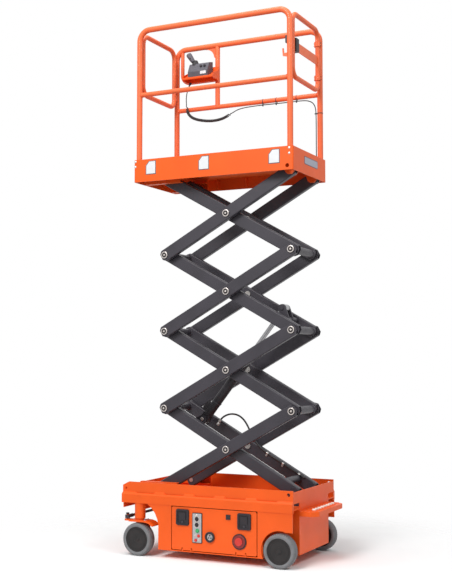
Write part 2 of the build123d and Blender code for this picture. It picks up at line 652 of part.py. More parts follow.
def front_guard():
    """Closed tube loop across the front end, joined to the posts by lugs."""
    guard = tube_loop(POST_X1, LOOP_Y)
    for s in (-1, 1):
        for z in (LOOP_Z0 + 77, LOOP_Z1 - 83):
            guard += block(POST_X1 - 10, POST_X1 + 10, s * LOOP_Y, s * (POST_Y - 8), z - 14, z + 14)
        guard -= rod_z(POST_X1, s * POST_Y, MID_Z - 50, RAIL_Z, RAIL_D)
    return guard


BAR_Z0 = LOOP_Z0 + 175.0
BAR_Z1 = BAR_Z0 + 58.0


def gate():
    """Inward swinging entry gate: closed tube loop with a flat bar."""
    frame = tube_loop(POST_X0, GATE_Y)
    frame += block(POST_X0 - 4, POST_X0 + 4, -GATE_Y + 10, GATE_Y - 10, BAR_Z0, BAR_Z1)
    return frame


TRAY_X0 = CONTROL_X - 18.0
TRAY_X1 = HANGER_X - 56.0
TRAY_Y = POST_Y - RAIL_D / 2
TRAY_Z = MID_Z + 185.0
STICK_LEAN = 34.0


def control_tray():
    """Sloped tray with side cheeks that holds the control box inside the right rail."""
    y = -TRAY_Y
    z = TRAY_Z
    profile = [(y, z + 64), (y, z + 58), (y + 92, z + 4), (y + 96, z + 9), (y + 96, z + 20)]
    profile += [(y + 90, z + 20), (y + 90, z + 14), (y + 6, z + 64)]
    tray = cross_bar(profile, TRAY_X0 + 6, TRAY_X1 - 6)
    cheek = [(y, z + 78), (y, z), (y + 72, z), (y + 96, z + 8), (y + 96, z + 30)]
    tray += cross_bar(cheek, TRAY_X0, TRAY_X0 + 6)
    tray += cross_bar(cheek, TRAY_X1 - 6, TRAY_X1)
    tray += block(TRAY_X0, TRAY_X1, y - 2, y + 4, z, z + 98)
    tray += block(CONTROL_X - 17, CONTROL_X + 17, -POST_Y + 10, y + 2, z + 18, z + 88)
    tray += block(TRAY_X1 - 60, TRAY_X1 - 30, -POST_Y, y + 2, HANGER_Z - 10, HANGER_Z + 10)
    return tray - control_hoop()


def control_box():
    """Operator's box with its boot and joystick."""
    y = -TRAY_Y + 6
    z = TRAY_Z
    x = TRAY_X1 - 79
    face = [(y, z + 65), (y + 83, z + 15), (y + 86, z + 58), (y + 56, z + 120), (y, z + 134)]
    body = cross_bar(face, TRAY_X0 + 44, TRAY_X1 - 44)
    body = fillet(body.edges().filter_by(Axis.X), 4)
    lean = Pos(x, y + 34, z + 118) * Rot(0, STICK_LEAN, 0)
    stick = lean * Pos(0, 0, 30) * Cylinder(8, 60)
    grip = Cone(14, 18, 60)
    grip = lean * Pos(0, 0, 68) * fillet(grip.edges().filter_by(GeomType.CIRCLE), 4)
    boot = Pos(x, y + 34, z + 124) * Cone(26, 12, 34)
    return body + boot + stick + grip


for s, name in ((1, "left"), (-1, "right")):
    keep("door_" + name, door(s))
    keep("door_" + name + "_latches", group(latch(DOOR_X1 - 79, s), latch(DOOR_X0 + 83, s)))
    front_tyre, front_hub = wheel(FRONT_AXLE_X, s)
    rear_tyre, rear_hub = wheel(REAR_AXLE_X, s)
    keep("tyre_front_" + name, front_tyre)
    keep("hub_front_" + name, front_hub)
    keep("tyre_rear_" + name, rear_tyre)
    keep("hub_rear_" + name, rear_hub)

keep("chassis_frame", chassis_frame())
left_rail = side_rail()
keep("side_rails", group(left_rail, flip(left_rail)))
low = scissor_mount_low()
keep("scissor_mounts_lower", group(low, flip(low)))
keep("rear_step", rear_step())
keep("battery", block(BAY_X0 + 75, BAY_X1 - 156, -SKIN_Y + 132, SKIN_Y - 132, FLOOR_Z + PLATE, DECK_Z - 56))
keep("front_axle", front_axle())
spindle = rod_y(REAR_AXLE_X, BOX_Y, BOX_Y + 14, AXLE_Z, 120)
spindle += rod_y(REAR_AXLE_X, BOX_Y + 14, WIDTH / 2 - 33, AXLE_Z, STUB_D)
spindle += rod_y(REAR_AXLE_X, BOX_Y + 14, WHEEL_IN - 8, AXLE_Z, 78)
keep("rear_axles", group(spindle, flip(spindle)))
keep("door_left_controls", door_controls())
left_knuckle = knuckle()
keep("knuckle_left", left_knuckle)
keep("knuckle_right", flip(left_knuckle))
keep("tie_rod", tie_rod())

for stage in range(1, STAGES + 1):
    rear_bore = RUN_D if stage == STAGES else PIN_D
    outer = arm(stage, OUT_Y0, -1, (rear_bore, PIN_D, PIN_D))
    inner = arm(stage, IN_Y0, 1, (RUN_D, RUN_D, RUN_D))
    keep("outer_arms_%d" % stage, group(outer, flip(outer)))
    keep("inner_arms_%d" % stage, group(inner, flip(inner)))
    keep("cross_tubes_%d" % stage, cross_tubes(stage))
    keep("pins_%d" % stage, stage_pins(stage))

low_x, low_z = pin_point(0, True)
high_x, high_z = pin_point(STAGES, True)
y0 = OUT_Y1 + SIDE_PLAY
roller = rod_y(low_x, y0, y0 + 24, low_z, ROLLER_D) - rod_y(low_x, y0 - 1, y0 + 25, low_z, PIN_D)
keep("rollers_lower", group(roller, flip(roller)))
y0 = IN_Y0 + ARM_W + SIDE_PLAY
roller = rod_y(high_x, y0, y0 + 26, high_z, TOP_ROLLER_D) + rod_y(high_x, IN_Y0, y0 + 26, high_z, PIN_D)
keep("rollers_upper", group(roller, flip(roller)))
keep("cylinder_mount_lower", ears(1, EYE_LOW, TUBE_LOW, True))
keep("cylinder_mount_upper", ears(3, EYE_HIGH, TUBE_HIGH, False))
barrel, piston_rod = cylinder()
keep("cylinder_barrel", barrel)
keep("cylinder_rod", piston_rod)

# routes of hose and control cord, chosen by hand
HOSE_RUN = [(238, 26, -60), (238, 66, -62), (222, 106, -66), (190, 138, -72), (148, 154, -78)]
HOSE_RUN += [(104, 150, -84), (62, 128, -92), (24, 98, -100), (-14, 70, -108), (-56, 48, -114)]
HOSE_RUN += [(-104, 36, -116), (-156, 32, -117.2), (-212, 31, -117.4), (-270, 32, -117.2)]
HOSE_RUN += [(-330, 31, -117.4), (-390, 32, -117.2), (-450, 31, -117.3)]
HOSE = []
for along, square, y in HOSE_RUN:
    hose_x, hose_z = on_arm(1, along, square, 1)
    HOSE.append((hose_x, y, hose_z))
keep("hose", cord("hose", HOSE, 12))

keep("platform_pan", platform_pan())
under = platform_underframe()
keep("platform_underframe", group(under, flip(under)))
keep("rail_left", side_guard(1))
keep("rail_right", right_guard())
keep("rail_front", front_guard())
keep("control_hoop", control_hoop())
keep("control_tray", control_tray())
keep("control_box", control_box())
keep("gate", gate())
latch_box = block(POST_X0 - 20, POST_X0 + 24, GATE_Y - 64, GATE_Y - 17, BAR_Z0 - 14, BAR_Z1 + 14)
keep("gate_latch", latch_box - gate())

LEAD_A = [(470, -222, 3232), (486, -220, 3198), (500, -221, 3160), (507, -224, 3119), (505, -226, 3080)]
COIL = [(505, -226, 3080), (503, -228, 3041), (489, -228, 3008), (462, -228, 2982), (424, -227, 2965)]
COIL += [(380, -226, 2953), (334, -226, 2945), (286, -226, 2942), (240, -226, 2946), (206, -226, 2954)]
COIL += [(174, -226.2, 2968), (142, -228, 2984)]
LEAD_B = [(142, -228, 2984), (106, -230, 3002), (62, -238, 3013), (0, -249, 3019), (-80, -255, 3022)]
LEAD_B += [(-180, -256, 3021), (-280, -256.5, 3020), (-360, -256, 3021), (-418, -256, 3016), (-454, -256, 2994)]
LEAD_B += [(-470, -256, 2956), (-472, -256, 2896), (-472.5, -256, 2800), (-472, -256.5, 2700)]
LEAD_B += [(-473, -256, 2610), (-473, -256, PAN_FLOOR)]
keep("cord_lead_upper", cord("cord_lead_upper", LEAD_A, 8))
keep("cord_coil", cord("cord_coil", COIL, 22))
keep("cord_lead_lower", cord("cord_lead_lower", LEAD_B, 8))

for name, shape in NODES.items():
    shape.label = name
    export_step(shape, os.path.join("parts", name + ".step"))
print(len(NODES), "nodes")
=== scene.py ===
"""Looks of the compact scissor lift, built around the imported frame. Metres, same frame as the CAD."""
import json
import math

import bmesh
import bpy
from mathutils import Matrix, Vector


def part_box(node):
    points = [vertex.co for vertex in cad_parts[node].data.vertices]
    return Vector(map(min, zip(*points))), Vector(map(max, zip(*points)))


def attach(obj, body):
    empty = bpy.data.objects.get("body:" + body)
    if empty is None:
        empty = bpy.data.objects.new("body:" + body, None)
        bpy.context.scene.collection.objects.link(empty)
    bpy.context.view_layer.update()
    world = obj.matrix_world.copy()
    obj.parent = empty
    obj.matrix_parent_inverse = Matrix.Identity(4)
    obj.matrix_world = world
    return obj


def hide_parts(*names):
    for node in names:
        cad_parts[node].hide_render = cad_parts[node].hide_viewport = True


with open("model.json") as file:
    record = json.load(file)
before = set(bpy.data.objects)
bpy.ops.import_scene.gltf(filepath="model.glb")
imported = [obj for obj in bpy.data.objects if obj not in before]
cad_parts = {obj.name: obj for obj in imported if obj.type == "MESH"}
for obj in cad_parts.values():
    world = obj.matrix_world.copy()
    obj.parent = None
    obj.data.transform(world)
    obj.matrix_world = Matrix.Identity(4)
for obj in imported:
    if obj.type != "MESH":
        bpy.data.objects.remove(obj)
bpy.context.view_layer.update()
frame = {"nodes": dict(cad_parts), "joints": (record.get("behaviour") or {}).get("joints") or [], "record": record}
nodes = frame["nodes"]
JOINT = {joint["name"]: joint for joint in frame["joints"]}
SIDES = ((1, "left"), (-1, "right"))


def low(node):
    return Vector(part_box(node)[0])


def high(node):
    return Vector(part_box(node)[1])


# materials
def material(name, color, rough=0.45, metal=0.0, coat=0.0, spec=0.5):
    mat = bpy.data.materials.new(name)
    mat.use_nodes = True
    shader = mat.node_tree.nodes["Principled BSDF"]
    shader.inputs["Base Color"].default_value = (*color, 1)
    shader.inputs["Roughness"].default_value = rough
    shader.inputs["Metallic"].default_value = metal
    shader.inputs["Coat Weight"].default_value = coat
    shader.inputs["Specular IOR Level"].default_value = spec
    return mat


def add_node(mat, kind, **values):
    node = mat.node_tree.nodes.new(kind)
    for key, value in values.items():
        setattr(node, key, value)
    return node


def noise(mat, coords, scale, detail):
    node = add_node(mat, "ShaderNodeTexNoise")
    node.inputs["Scale"].default_value = scale
    node.inputs["Detail"].default_value = detail
    mat.node_tree.links.new(coords.outputs["Object"], node.inputs["Vector"])
    return node


def surface(mat, color, vary, scale, rough, rough_scale, bump, bump_scale):
    """Colour clouds, roughness patches and a fine bump, all from noise on object coordinates."""
    tree = mat.node_tree
    shader = tree.nodes["Principled BSDF"]
    coords = add_node(mat, "ShaderNodeTexCoord")
    clouds = noise(mat, coords, scale, 5)
    ramp = add_node(mat, "ShaderNodeValToRGB")
    ramp.color_ramp.elements[0].position = 0.32
    ramp.color_ramp.elements[1].position = 0.68
    ramp.color_ramp.elements[0].color = (*[c * (1 - vary) for c in color], 1)
    ramp.color_ramp.elements[1].color = (*[min(1, c * (1 + vary)) for c in color], 1)
    tree.links.new(clouds.outputs["Fac"], ramp.inputs["Fac"])
    tree.links.new(ramp.outputs["Color"], shader.inputs["Base Color"])
    patches = noise(mat, coords, rough_scale, 3)
    spread = add_node(mat, "ShaderNodeMapRange")
    spread.inputs["To Min"].default_value = rough[0]
    spread.inputs["To Max"].default_value = rough[1]
    tree.links.new(patches.outputs["Fac"], spread.inputs["Value"])
    tree.links.new(spread.outputs["Result"], shader.inputs["Roughness"])
    grain = noise(mat, coords, bump_scale, 3)
    relief = add_node(mat, "ShaderNodeBump")
    relief.inputs["Strength"].default_value = bump
    relief.inputs["Distance"].default_value = 0.001
    tree.links.new(grain.outputs["Fac"], relief.inputs["Height"])
    tree.links.new(relief.outputs["Normal"], shader.inputs["Normal"])
    return mat


def finish(name, color, vary, scale, rough, rough_scale, bump, bump_scale, **kind):
    return surface(material(name, color, **kind), color, vary, scale, rough, rough_scale, bump, bump_scale)


def two_tone(mat, first, second, x):
    """Paints what lies behind a station along X in the second colour."""
    tree = mat.node_tree
    coords = add_node(mat, "ShaderNodeTexCoord")
    axes = add_node(mat, "ShaderNodeSeparateXYZ")
    behind = add_node(mat, "ShaderNodeMath", operation="LESS_THAN")
    behind.inputs[1].default_value = x
    mix = add_node(mat, "ShaderNodeMix", data_type="RGBA")
    mix.inputs["A"].default_value = (*first, 1)
    mix.inputs["B"].default_value = (*second, 1)
    tree.links.new(coords.outputs["Object"], axes.inputs["Vector"])
    tree.links.new(axes.outputs["X"], behind.inputs[0])
    tree.links.new(behind.outputs["Value"], mix.inputs["Factor"])
    tree.links.new(mix.outputs["Result"], tree.nodes["Principled BSDF"].inputs["Base Color"])
    return mat


MOUNT_SPLIT_X = -0.2
ORANGE = (0.84, 0.108, 0.010)
RAIL_ORANGE = (0.80, 0.140, 0.042)
SLATE = (0.038, 0.034, 0.043)
m_panel = finish("orange_panel", ORANGE, 0.05, 5, (0.40, 0.50), 24, 0.05, 260, coat=0.04, spec=0.25)
m_rail = finish("orange_rail", RAIL_ORANGE, 0.05, 7, (0.40, 0.52), 24, 0.05, 260, coat=0.05, spec=0.35)
m_arm = finish("slate_arm", SLATE, 0.14, 7, (0.36, 0.52), 18, 0.08, 200, spec=0.4)
m_zinc = finish("zinc", (0.46, 0.44, 0.42), 0.12, 40, (0.28, 0.45), 60, 0.06, 500, metal=0.9)
m_chrome = finish("rod_chrome", (0.34, 0.34, 0.35), 0.05, 12, (0.22, 0.32), 40, 0.01, 300, metal=0.75)
m_tyre = finish("tyre_grey", (0.175, 0.178, 0.185), 0.12, 28, (0.75, 0.9), 60, 0.35, 420)
m_hub = finish("hub_black", (0.022, 0.020, 0.020), 0.2, 16, (0.5, 0.65), 40, 0.08, 300, spec=0.3)
m_black = finish("black_plastic", (0.020, 0.017, 0.021), 0.18, 20, (0.45, 0.62), 60, 0.22, 900, spec=0.35)
m_case = finish("battery_case", (0.03, 0.03, 0.035), 0.15, 10, (0.5, 0.65), 30, 0.2, 500)
m_rubber = finish("rubber_line", (0.022, 0.022, 0.024), 0.2, 30, (0.5, 0.66), 60, 0.15, 700)
m_box = finish("control_grey", (0.072, 0.068, 0.085), 0.12, 18, (0.45, 0.6), 50, 0.2, 800)
m_white = finish("plate_white", (0.70, 0.71, 0.73), 0.03, 30, (0.4, 0.5), 40, 0.02, 300)
m_slate_plate = finish("plate_grey", (0.34, 0.35, 0.42), 0.06, 40, (0.35, 0.45), 40, 0.02, 300, metal=0.3)
m_edge = finish("plate_edge", (0.12, 0.09, 0.10), 0.08, 30, (0.45, 0.55), 40, 0.02, 300)
m_silver = finish("switch_panel", (0.42, 0.42, 0.43), 0.06, 50, (0.34, 0.42), 60, 0.04, 600, metal=0.4)
m_red = finish("stop_red", (0.60, 0.020, 0.012), 0.06, 20, (0.28, 0.36), 40, 0.02, 400, coat=0.2)
m_deep_red = finish("stop_collar", (0.22, 0.016, 0.014), 0.08, 20, (0.4, 0.5), 40, 0.03, 400)
m_green = finish("lamp_green", (0.03, 0.34, 0.12), 0.08, 20, (0.2, 0.3), 40, 0.02, 400, coat=0.3)
m_bright = finish("bright_bolt", (0.60, 0.55, 0.52), 0.06, 60, (0.25, 0.38), 60, 0.04, 500, metal=0.7)
# the pale colour of the rear step teeth is a painted highlight
m_tread_highlight = finish("tread_painted_highlight", (0.74, 0.68, 0.62), 0.2, 60, (0.4, 0.6), 80, 0.1, 300, metal=0.3)
m_mount = two_tone(material("scissor_mount", ORANGE, 0.45, spec=0.25), ORANGE, SLATE, MOUNT_SPLIT_X)

SLOT_MATERIAL = {
    "orange_panel": m_panel,
    "orange_rail": m_rail,
    "grey_arm": m_arm,
    "zinc": m_zinc,
    "rod_chrome": m_chrome,
    "tyre_grey": m_tyre,
    "hub_black": m_hub,
    "black_plastic": m_black,
    "battery_case": m_case,
    "rubber_line": m_rubber,
}
OWN_MATERIAL = {
    "control_box": m_box,
    "cylinder_barrel": m_black,
    "tie_rod": m_arm,
    "scissor_mounts_lower": m_mount,
}
for entry in frame["record"]["subparts"]:
    obj = nodes[entry["node"]]
    obj.data.materials.clear()
    obj.data.materials.append(OWN_MATERIAL.get(entry["node"], SLOT_MATERIAL[entry["material_slot"]]))


# mesh helpers
def piece(name, bm, mat, body):
    """Turns the collected faces into one piece on a body."""
    bmesh.ops.recalc_face_normals(bm, faces=bm.faces)
    mesh = bpy.data.meshes.new(name)
    bm.to_mesh(mesh)
    bm.free()
    mesh.materials.append(mat)
    for polygon in mesh.polygons:
        polygon.use_smooth = True
    mesh.set_sharp_from_angle(angle=math.radians(35))
    made = bpy.data.objects.new(name, mesh)
    bpy.context.collection.objects.link(made)
    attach(made, body)
    return made


def facing(point, normal, up=(0, 0, 1)):
    """Placement whose Z is the normal and whose Y is as near as can be to up."""
    z = Vector(normal).normalized()
    x = Vector(up).cross(z)
    if x.length < 1e-4:
        x = Vector((0, 1, 0)).cross(z)
    x.normalize()
    place = Matrix((x, z.cross(x), z)).transposed().to_4x4()
    place.translation = Vector(point)
    return place


def skin(bm, first, second):
    """Faces between two rings, either of which may be a single point."""
    count = max(len(first), len(second))
    for i in range(count):
        j = (i + 1) % count
        corners = [first[i % len(first)], first[j % len(first)]]
        corners += [second[j % len(second)], second[i % len(second)]]
        kept = []
        for corner in corners:
            if corner not in kept:
                kept.append(corner)
        if len(kept) > 2:
            bm.faces.new(kept)


def lathe(bm, profile, place, steps=24, closed=False):
    """Turns a profile of radius and height about the placement's Z. A closed profile is a ring."""
    rings = []
    for radius, height in profile:
        ring = []
        for i in range(steps if radius else 1):
            angle = 2 * math.pi * i / steps
            point = Vector((radius * math.cos(angle), radius * math.sin(angle), height))
            ring.append(bm.verts.new(place @ point))
        rings.append(ring)
    for first, second in zip(rings, rings[1:]):
        skin(bm, first, second)
    if closed:
        skin(bm, rings[-1], rings[0])


def rounded(width, height, radius, steps=5):
    """Outline of a rounded rectangle about the origin, counter-clockwise."""
    points = []
    for corner, (sx, sy) in enumerate(((1, 1), (-1, 1), (-1, -1), (1, -1))):
        for i in range(steps + 1):
            angle = math.pi / 2 * (corner + i / steps)
            x = sx * (width / 2 - radius) + radius * math.cos(angle)
            y = sy * (height / 2 - radius) + radius * math.sin(angle)
            points.append((x, y))
    return points


def shrink(outline, by):
    """A counter-clockwise convex outline drawn in by a distance."""
    moved = []
    for i, point in enumerate(outline):
        before = (Vector(point) - Vector(outline[i - 1])).normalized()
        after = (Vector(outline[(i + 1) % len(outline)]) - Vector(point)).normalized()
        inward = Vector((-before.y, before.x)) + Vector((-after.y, after.x))
        inward.normalize()
        square = max(0.3, inward.dot(Vector((-before.y, before.x))))
        moved.append(Vector(point) + inward * by / square)
    return moved


def slab(bm, outline, depth, place, edge=0.0005):
    """Plate with a chamfered front edge, from the placement's plane out along its Z."""
    rings = []
    for by, z in ((0, 0), (0, depth - edge), (edge, depth)):
        ring = []
        for point in shrink(outline, by) if by else outline:
            ring.append(bm.verts.new(place @ Vector((point[0], point[1], z))))
        rings.append(ring)
    for first, second in zip(rings, rings[1:]):
        skin(bm, first, second)
    bm.faces.new(rings[-1])
    bm.faces.new(list(reversed(rings[0])))


def hull_band(circles, thick, steps=10):
    """Outer and inner outline of a strap drawn round two circles, given as (x, y, radius)."""
    (ax, ay, ar), (bx, by, br) = circles
    line = math.atan2(by - ay, bx - ax)
    gap = math.hypot(bx - ax, by - ay)
    spread = math.acos((ar - br) / gap)
    loops = []
    for extra in (thick, 0):
        loop = []
        for i in range(steps + 1):
            angle = line + spread + (2 * math.pi - 2 * spread) * i / steps
            loop.append((ax + (ar + extra) * math.cos(angle), ay + (ar + extra) * math.sin(angle)))
        for i in range(steps + 1):
            angle = line - spread + 2 * spread * i / steps
            loop.append((bx + (br + extra) * math.cos(angle), by + (br + extra) * math.sin(angle)))
        loops.append(loop)
    return loops


def strap(bm, circles, place, width, thick=0.0014):
    """Cable tie round two circles in the placement's XY, with its lock on the second."""
    outer, inner = hull_band(circles, thick)
    rings = []
    for loop, z in ((outer, -width / 2), (outer, width / 2), (inner, width / 2), (inner, -width / 2)):
        rings.append([bm.verts.new(place @ Vector((x, y, z))) for x, y in loop])
    for first, second in zip(rings, rings[1:] + rings[:1]):
        skin(bm, first, second)
    (ax, ay, ar), (bx, by, br) = circles
    away = Vector((bx - ax, by - ay, 0)).normalized()
    lock = Matrix.Translation(Vector((bx, by, -width * 0.7)) + away * (br + 0.003))
    slab(bm, rounded(0.008, 0.007, 0.0015, 2), width * 1.4, place @ lock)


def hex_bolt(bm, point, normal, size):
    """Hexagon head on a washer."""
    place = facing(point, normal)
    washer = [(0, 0), (1.45, 0), (1.45, 0.15), (1.363, 0.22), (0, 0.22)]
    head = [(0, 0.2), (1, 0.2), (1, 0.75), (0.86, 0.9), (0, 0.9)]
    lathe(bm, [(size * r, size * z) for r, z in washer], place, 20)
    lathe(bm, [(size * r, size * z) for r, z in head], place, 6)


def dome_bolt(bm, point, normal, size):
    """Low domed head."""
    arc = [(size * math.cos(a * math.pi / 10), size * 0.55 * math.sin(a * math.pi / 10)) for a in range(5)]
    lathe(bm, [(0, -0.0005), (size, -0.0005)] + arc + [(0, size * 0.55)], facing(point, normal), 16)


def weld(bm, point, normal, radius, leg=0.005):
    """Fillet weld round a tube where it meets a face."""
    ring = [(radius - 0.0006, 0), (radius + leg, 0), (radius + leg * 0.55, leg * 0.5), (radius - 0.0006, leg)]
    lathe(bm, ring, facing(point, normal), 28, closed=True)


# scissor stack
STAGES = 4
TUBE_R = 0.025
ANGLE = math.radians(29.2)
pivot = Vector(JOINT["lift"]["pos_m"])
mid_x = JOINT["cross_1"]["pos_m"][0]
rise = JOINT["elbow_1"]["pos_m"][2] - pivot.z
front_x = 2 * mid_x - pivot.x
head_y = high("pins_2").y
inner_y = high("cross_tubes_2").y


def row_z(row):
    return pivot.z + row * rise


def pin_caps(stage):
    """Retaining ring, a dark disc as painted shade in the gap inside the ring, and grease nut on each pin head of
    one pair of outer arms.
    """
    spots = [(mid_x, row_z(stage - 0.5))]
    if stage > 1:
        spots.append((front_x, row_z(stage - 1)))
    if stage < STAGES:
        spots.append((pivot.x, row_z(stage)))
    rings = bmesh.new()
    shade_discs = bmesh.new()
    for x, z in spots:
        for side, _ in SIDES:
            place = facing((x, side * head_y, z), (0, side, 0))
            rim = [(0.0165, -0.0004), (0.0225, -0.0004), (0.0222, 0.0022), (0.0205, 0.003), (0.0172, 0.0026)]
            lathe(rings, rim, place, 28, closed=True)
            lathe(rings, [(0, 0), (0.0072, 0), (0.0072, 0.0036), (0.006, 0.0046), (0, 0.0046)], place, 6)
            # black disc inside each ring: painted shade of the gap round the pin
            lathe(shade_discs, [(0, -0.0004), (0.0169, -0.0004), (0.0169, 0.0006), (0, 0.0006)], place, 28)
    piece("pin_rings_%d" % stage, rings, m_bright, "outer_%d" % stage)
    piece("pin_painted_shade_%d" % stage, shade_discs, m_hub, "outer_%d" % stage)


def tube_welds(stage):
    """Weld beads where the cross tubes meet one pair of inner arms."""
    beads = bmesh.new()
    spots = [(front_x, row_z(stage))]
    if stage > 1:
        spots.append((pivot.x, row_z(stage - 1)))
    for x, z in spots:
        for side, _ in SIDES:
            weld(beads, (x, side * inner_y, z), (0, -side, 0), TUBE_R)
    piece("tube_welds_%d" % stage, beads, m_arm, "inner_%d" % stage)


for stage in range(1, STAGES + 1):
    pin_caps(stage)
    tube_welds(stage)


# lift cylinder
BARREL_L = 0.566
ROD_R = 0.015
WIPER_R = ROD_R + 0.0012
BAND_STATIONS = (0.50, 0.42, 0.14)
EYE_PIN_END = 0.046
eye =Vector(JOINT["barrel_swing"]["pos_m"])
stroke = Vector(JOINT["rod_stroke"]["axis"]).normalized()


def along_cylinder(distance):
    return facing(eye + stroke * distance, stroke, (0, 1, 0))


def cylinder_trim():
    """Wiper seal at the rod, bands round the barrel and caps on its eye pin."""
    seal = bmesh.new()
    wiper = [(WIPER_R, -0.0005), (0.026, -0.0005), (0.025, 0.004), (0.019, 0.006), (WIPER_R, 0.006)]
    lathe(seal, wiper, along_cylinder(BARREL_L), 28, closed=True)
    piece("rod_wiper", seal, m_rubber, "barrel")
    bands = bmesh.new()
    band = [(0.0305, 0), (0.0335, 0), (0.0338, 0.004), (0.0335, 0.008), (0.0305, 0.008)]
    for distance in BAND_STATIONS:
        lathe(bands, band, along_cylinder(distance), 32, closed=True)
    piece("barrel_bands", bands, m_arm, "barrel")
    pins = bmesh.new()
    cap = [(0, -0.0004), (0.0115, -0.0004), (0.0115, 0.0016), (0.0095, 0.003), (0, 0.003)]
    for side, _ in SIDES:
        lathe(pins, cap, facing((eye.x, side * EYE_PIN_END, eye.z), (0, side, 0)), 20)
    piece("eye_pin_caps", pins, m_bright, "inner_1")


cylinder_trim()


# hose on the far arm of the first inner pair, in mm along the arm and square to it from its middle pin,
# and in mm along Y
HOSE_D = 0.012
HOSE_CLAMPS = (0.50, 0.63, 0.76)
HOSE_RUN = [(238, 26, -60), (238, 66, -62), (222, 106, -66), (190, 138, -72), (148, 154, -78)]
HOSE_RUN += [(104, 150, -84), (62, 128, -92), (24, 98, -100), (-14, 70, -108), (-56, 48, -114)]
HOSE_RUN += [(-104, 36, -116), (-156, 32, -117.2), (-212, 31, -117.4), (-270, 32, -117.2)]
HOSE_RUN += [(-330, 31, -117.4), (-390, 32, -117.2), (-450, 31, -117.3)]


def on_arm(along, square, y):
    x = mid_x + (along * math.cos(ANGLE) - square * math.sin(ANGLE)) / 1000
    z = row_z(0.5) + (along * math.sin(ANGLE) + square * math.cos(ANGLE)) / 1000
    return Vector((x, y / 1000, z))


def cord_curve(name, points, diameter):
    """One open NURBS spline through the route's control points."""
    curve = bpy.data.curves.new(name, "CURVE")
    curve.dimensions = "3D"
    spline = curve.splines.new("NURBS")
    spline.points.add(len(points) - 1)
    for point, place in zip(spline.points, points):
        point.co = (*place, 1)
    spline.order_u = 3
    spline.use_endpoint_u = True
    spline.resolution_u = 6
    curve.bevel_depth = diameter / 2
    curve.bevel_resolution = 3
    curve.use_fill_caps = True
    made = bpy.data.objects.new(name, curve)
    bpy.context.collection.objects.link(made)
    return made


def route_line(points):
    """Points read along the NURBS spline of a route, with the length so far at each."""
    guide = cord_curve("guide", points, 0)
    guide.data.splines[0].resolution_u = 16
    bpy.context.view_layer.update()
    mesh = bpy.data.meshes.new_from_object(guide)
    line = [vertex.co.copy() for vertex in mesh.vertices]
    bpy.data.objects.remove(guide)
    bpy.data.meshes.remove(mesh)
    reach = [0.0]
    for first, second in zip(line, line[1:]):
        reach.append(reach[-1] + (second - first).length)
    return line, reach


def at_length(line, reach, distance):
    """Point and direction at a distance along a read line."""
    for i in range(1, len(line)):
        if reach[i] >= distance or i == len(line) - 1:
            step = reach[i] - reach[i - 1]
            share = (distance - reach[i - 1]) / step
            return line[i - 1].lerp(line[i], share), (line[i] - line[i - 1]).normalized()


def hose():
    """Hydraulic hose with its end fitting and its clamps on the arm."""
    points = [on_arm(*spot) for spot in HOSE_RUN]
    line, reach = route_line(points)
    made = cord_curve("hose_line", points, HOSE_D)
    made.data.materials.append(m_rubber)
    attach(made, "inner_1")
    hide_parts("hose")
    fittings = bmesh.new()
    start = facing(points[0], points[1] - points[0], (0, 1, 0))
    ferrule = [(0.0062, 0.016), (0.0085, 0.016), (0.0085, 0.038), (0.0078, 0.041), (0.0062, 0.041)]
    lathe(fittings, ferrule, start, 20, closed=True)
    nut = [(0.0062, -0.002), (0.0115, -0.002), (0.0115, 0.013), (0.0102, 0.015), (0.0062, 0.015)]
    lathe(fittings, nut, start, 6, closed=True)
    ends = piece("hose_fittings", fittings, m_zinc, "inner_1")
    clamps = bmesh.new()
    band = [(0.0061, -0.007), (0.0078, -0.007), (0.0078, 0.007), (0.0061, 0.007)]
    for distance in HOSE_CLAMPS:
        spot, direction = at_length(line, reach, distance)
        lathe(clamps, band, facing(spot, direction, (0, 1, 0)), 20, closed=True)
        across = direction.cross(Vector((0, 1, 0))).normalized()
        tab = facing(spot + across * 0.015 + Vector((0, -0.0050, 0)), (0, 1, 0), direction)
        slab(clamps, rounded(0.018, 0.014, 0.003, 2), 0.002, tab)
        hex_bolt(clamps, spot + across * 0.017 + Vector((0, -0.0031, 0)), (0, 1, 0), 0.0045)
    clips = piece("hose_clamps", clamps, m_zinc, "inner_1")


hose()


# control cord, the points of its route in metres
CORD_D = 0.007
COIL_R = 0.0073
COIL_PITCH = 0.0078
TURN_POINTS = 12
COIL_OPEN = 0.032
COIL_WIND = 0.045
LOOSE_WIND = 14.0
FLOOR_Z = low("cord_lead_lower").z
LEAD_A = [(0.470, -0.222, 3.232), (0.486, -0.220, 3.198), (0.500, -0.221, 3.160), (0.507, -0.224, 3.119)]
LEAD_A += [(0.505, -0.226, 3.080)]
COIL = [(0.505, -0.226, 3.080), (0.503, -0.228, 3.041), (0.489, -0.228, 3.008), (0.462, -0.228, 2.982)]
COIL += [(0.424, -0.227, 2.965), (0.380, -0.226, 2.953), (0.334, -0.226, 2.945), (0.286, -0.226, 2.942)]
COIL += [(0.240, -0.226, 2.946), (0.206, -0.226, 2.954), (0.174, -0.2262, 2.968), (0.142, -0.228, 2.984)]
LEAD_B = [(0.142, -0.228, 2.984), (0.106, -0.230, 3.002), (0.062, -0.238, 3.013), (0.0, -0.249, 3.019)]
LEAD_B += [(-0.080, -0.255, 3.022), (-0.180, -0.256, 3.021), (-0.280, -0.2565, 3.020)]
LEAD_B += [(-0.360, -0.256, 3.021), (-0.418, -0.256, 3.016), (-0.454, -0.256, 2.994)]
LEAD_B += [(-0.470, -0.256, 2.956), (-0.472, -0.256, 2.896), (-0.4725, -0.256, 2.800)]
LEAD_B += [(-0.472, -0.2565, 2.700), (-0.473, -0.256, 2.610), (-0.473, -0.256, FLOOR_Z)]
RAIL_TIES = ((-0.08, -0.2545, 3.0215), (-0.18, -0.256, 3.021), (-0.33, -0.2562, 3.0205))
POST_TIES = (2.92, 2.60)
TIE_WIDTH = 0.005
MID_RAIL_Z = 3.047
MID_RAIL_R = 0.016
POST_R = 0.019


def ease(share):
    share = min(1, max(0, share))
    return share * share * (3 - 2 * share)


